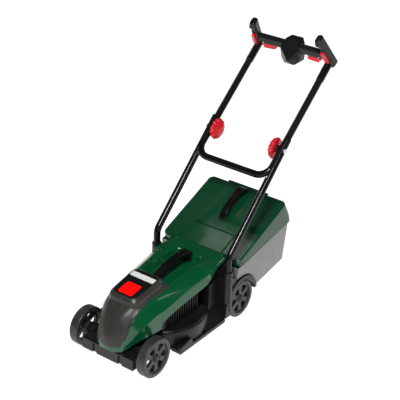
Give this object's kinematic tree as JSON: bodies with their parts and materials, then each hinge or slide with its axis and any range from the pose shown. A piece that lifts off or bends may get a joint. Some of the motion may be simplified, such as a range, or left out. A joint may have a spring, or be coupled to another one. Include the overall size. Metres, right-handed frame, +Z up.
{
  "type": "toy push lawn mower",
  "caption": "Child's walk-behind push lawn mower with folding tubular handle, hood, grass box with lift flap, spoked wheels, fold knobs and grip levers.",
  "frame": {"origin": "middle of the bounding box footprint, on the floor under the wheels", "axes": "+Z up, -Y towards the nose, +Y towards the push handle, X across; X = 0 is the plane of symmetry"},
  "size_m": [0.2342, 0.7064, 0.6054],
  "materials": {
    "green_plastic": "glossy dark green moulded plastic",
    "box_green": "satin-gloss dark green moulded plastic",
    "black_plastic": "satin black moulded plastic",
    "gloss_black": "glossy black moulded plastic",
    "tube_black": "glossy black tube",
    "grey_plastic": "satin dark grey moulded plastic",
    "box_grey": "satin dark grey moulded plastic",
    "wheel_grey": "satin dark grey moulded plastic",
    "red_plastic": "glossy red moulded plastic",
    "label_black": "glossy black printed label",
    "label_red": "flat bright red print",
    "label_pale": "pale grey print, left blank",
    "steel": "bright steel"
  },
  "bodies": {
    "chassis": {"deck": "black_plastic", "axle_bushes": "grey_plastic", "front_axle": "steel", "click_tongue": "black_plastic", "grass_comb_left": "black_plastic", "grass_comb_right": "black_plastic", "rear_fender_left": "black_plastic", "rear_fender_right": "black_plastic", "motor_shroud": "black_plastic", "hood": "green_plastic", "hood_handle": "gloss_black", "nose_cover": "grey_plastic", "label_panel": "label_black", "red_badge": "label_red", "label_strip": "label_pale", "flap_pin": "steel", "lower_leg_left": "tube_black", "lower_leg_right": "tube_black", "pivot_bolt_left": "steel", "pivot_bolt_right": "steel", "leg_screws": "steel"},
    "front_wheel_left": {"front_wheel_left": "wheel_grey", "hub_cap_front_left": "wheel_grey"},
    "front_wheel_right": {"front_wheel_right": "wheel_grey", "hub_cap_front_right": "wheel_grey"},
    "rear_axle_set": {"rear_axle": "steel", "click_wheel": "black_plastic", "rear_wheel_left": "wheel_grey", "rear_wheel_right": "wheel_grey", "hub_cap_rear_left": "wheel_grey", "hub_cap_rear_right": "wheel_grey"},
    "handle": {"upper_handle": "tube_black", "handlebar": "gloss_black", "grip_left": "gloss_black", "grip_right": "gloss_black", "switch_box_front": "gloss_black", "switch_box_rear": "gloss_black", "switch_box_screw": "steel", "lever_pins": "steel", "trigger_pins": "steel"},
    "knob_left": {"fold_knob_left": "red_plastic", "knob_nut_left": "steel"},
    "knob_right": {"fold_knob_right": "red_plastic", "knob_nut_right": "steel"},
    "grip_trigger_left": {"grip_trigger_left": "red_plastic"},
    "grip_trigger_right": {"grip_trigger_right": "red_plastic"},
    "bar_lever_left": {"bar_lever_left": "red_plastic"},
    "bar_lever_right": {"bar_lever_right": "red_plastic"},
    "rear_flap": {"rear_flap": "box_green"},
    "grass_box": {"grass_box_upper": "box_green", "grass_box_lower": "box_grey", "grass_box_handle": "gloss_black"}
  },
  "joints": [
    {"name": "front_wheel_left_spin", "type": "hinge", "parent": "chassis", "child": "front_wheel_left", "pos_m": [-0.095, -0.30725, 0.046], "axis": [1, 0, 0], "continuous": true},
    {"name": "front_wheel_right_spin", "type": "hinge", "parent": "chassis", "child": "front_wheel_right", "pos_m": [0.095, -0.30725, 0.046], "axis": [1, 0, 0], "continuous": true},
    {"name": "rear_wheels_spin", "type": "hinge", "parent": "chassis", "child": "rear_axle_set", "pos_m": [0, -0.00085, 0.046], "axis": [1, 0, 0], "continuous": true},
    {"name": "handle_fold", "type": "hinge", "parent": "chassis", "child": "handle", "pos_m": [0, 0.14675, 0.371], "axis": [1, 0, 0], "range_deg": [0, 150]},
    {"name": "fold_knob_left_turn", "type": "hinge", "parent": "chassis", "child": "knob_left", "pos_m": [-0.08, 0.14675, 0.371], "axis": [1, 0, 0], "range_deg": [0, 540]},
    {"name": "fold_knob_right_turn", "type": "hinge", "parent": "chassis", "child": "knob_right", "pos_m": [0.08, 0.14675, 0.371], "axis": [-1, 0, 0], "range_deg": [0, 540]},
    {"name": "grip_trigger_left_press", "type": "hinge", "parent": "handle", "child": "grip_trigger_left", "pos_m": [-0.10055, 0.32283, 0.54073], "axis": [-0.9882, -0.0896, 0.1243], "range_deg": [0, 8], "stiffness_Nm_per_rad": 0.05, "springref_deg": -11.46},
    {"name": "grip_trigger_right_press", "type": "hinge", "parent": "handle", "child": "grip_trigger_right", "pos_m": [0.10055, 0.32283, 0.54073], "axis": [-0.9882, 0.0896, -0.1243], "range_deg": [0, 8], "stiffness_Nm_per_rad": 0.05, "springref_deg": -11.46},
    {"name": "bar_lever_left_squeeze", "type": "hinge", "parent": "handle", "child": "bar_lever_left", "pos_m": [-0.078, 0.32575, 0.541], "axis": [0, -1, 0], "range_deg": [0, 7], "stiffness_Nm_per_rad": 0.05, "springref_deg": -11.46},
    {"name": "bar_lever_right_squeeze", "type": "hinge", "parent": "handle", "child": "bar_lever_right", "pos_m": [0.078, 0.32575, 0.541], "axis": [0, 1, 0], "range_deg": [0, 7], "stiffness_Nm_per_rad": 0.05, "springref_deg": -11.46},
    {"name": "rear_flap_lift", "type": "hinge", "parent": "chassis", "child": "rear_flap", "pos_m": [0, -0.02025, 0.154], "axis": [1, 0, 0], "range_deg": [0, 70]},
    {"name": "grass_box_pull_off", "type": "slide", "parent": "chassis", "child": "grass_box", "axis": [0, 1, 0], "range_m": [0, 0.12]}
  ]
}
